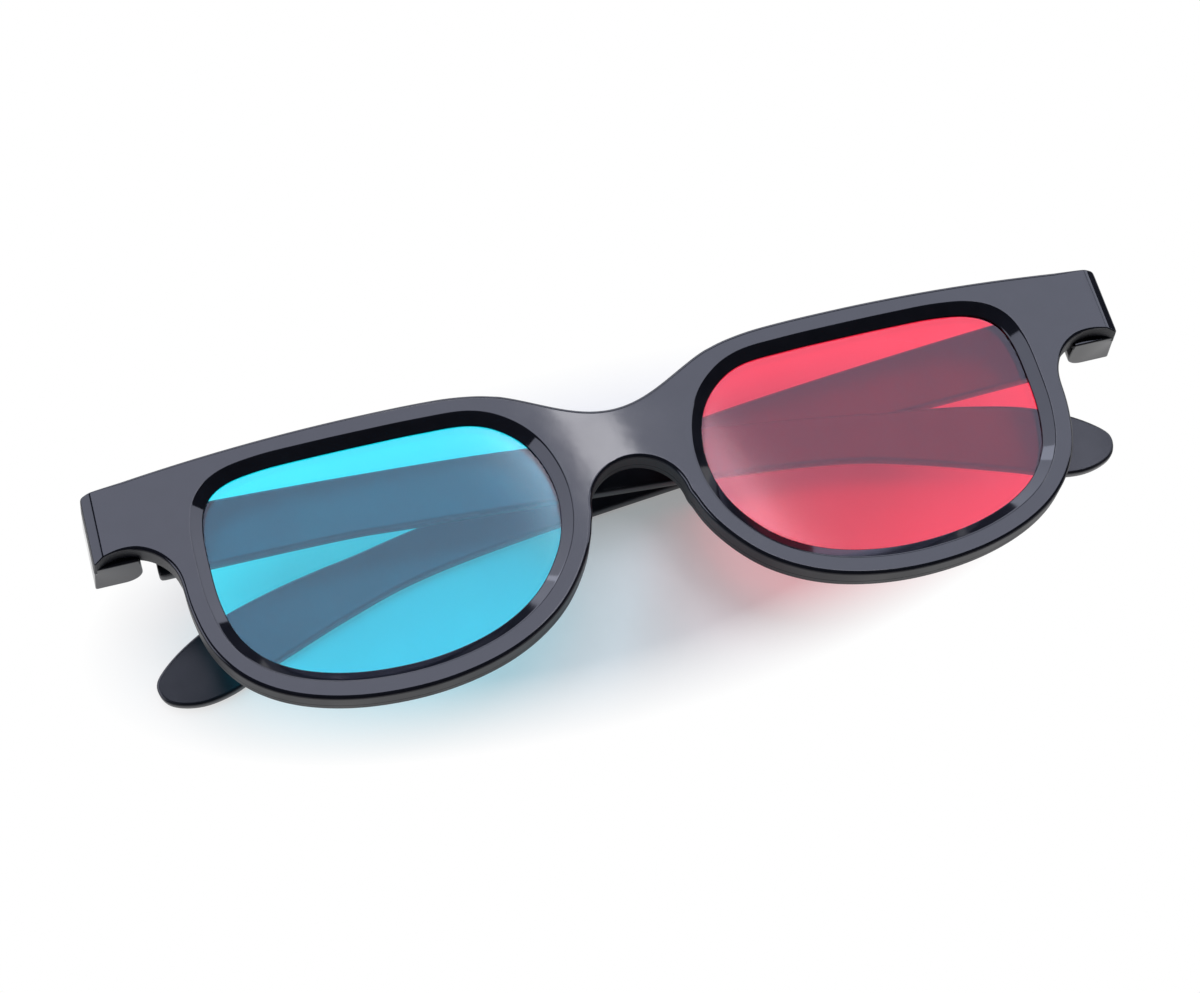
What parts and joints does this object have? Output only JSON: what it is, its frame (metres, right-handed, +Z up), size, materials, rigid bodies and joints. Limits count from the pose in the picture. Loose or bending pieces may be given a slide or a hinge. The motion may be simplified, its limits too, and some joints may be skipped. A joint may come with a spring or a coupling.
{
  "type": "3d glasses",
  "caption": "Folding plastic 3D viewing glasses with a red and a cyan lens, a bezelled front and hooked temples on pin hinges, lying folded with the lenses up.",
  "frame": {"origin": "centre of the bounding box in plan, on the table plane that the folded glasses lie on", "axes": "+Z up from the table through the lenses, +Y towards the top edge of the front, +X towards the viewer's right end of the front"},
  "size_m": [0.1482, 0.0412, 0.0185],
  "materials": {
    "black_plastic": "smooth moulded black plastic, satin gloss",
    "cyan_acrylic": "clear cyan sheet, glossy",
    "red_acrylic": "clear red sheet, glossy",
    "pin_steel": "plain drawn steel wire"
  },
  "bodies": {
    "front": {"front_frame": "black_plastic", "back_frame": "black_plastic", "cyan_lens": "cyan_acrylic", "red_lens": "red_acrylic", "left_hinge_pin": "pin_steel", "right_hinge_pin": "pin_steel"},
    "left_temple": {"left_temple": "black_plastic"},
    "right_temple": {"right_temple": "black_plastic"}
  },
  "joints": [
    {"name": "left_temple_hinge", "type": "hinge", "parent": "front", "child": "left_temple", "pos_m": [-0.07056, 0.013, 0.01186], "axis": [0, 1, 0], "range_deg": [0, 100]},
    {"name": "right_temple_hinge", "type": "hinge", "parent": "front", "child": "right_temple", "pos_m": [0.07037, 0.013, 0.0032], "axis": [0, -1, 0], "range_deg": [0, 96.2]}
  ]
}
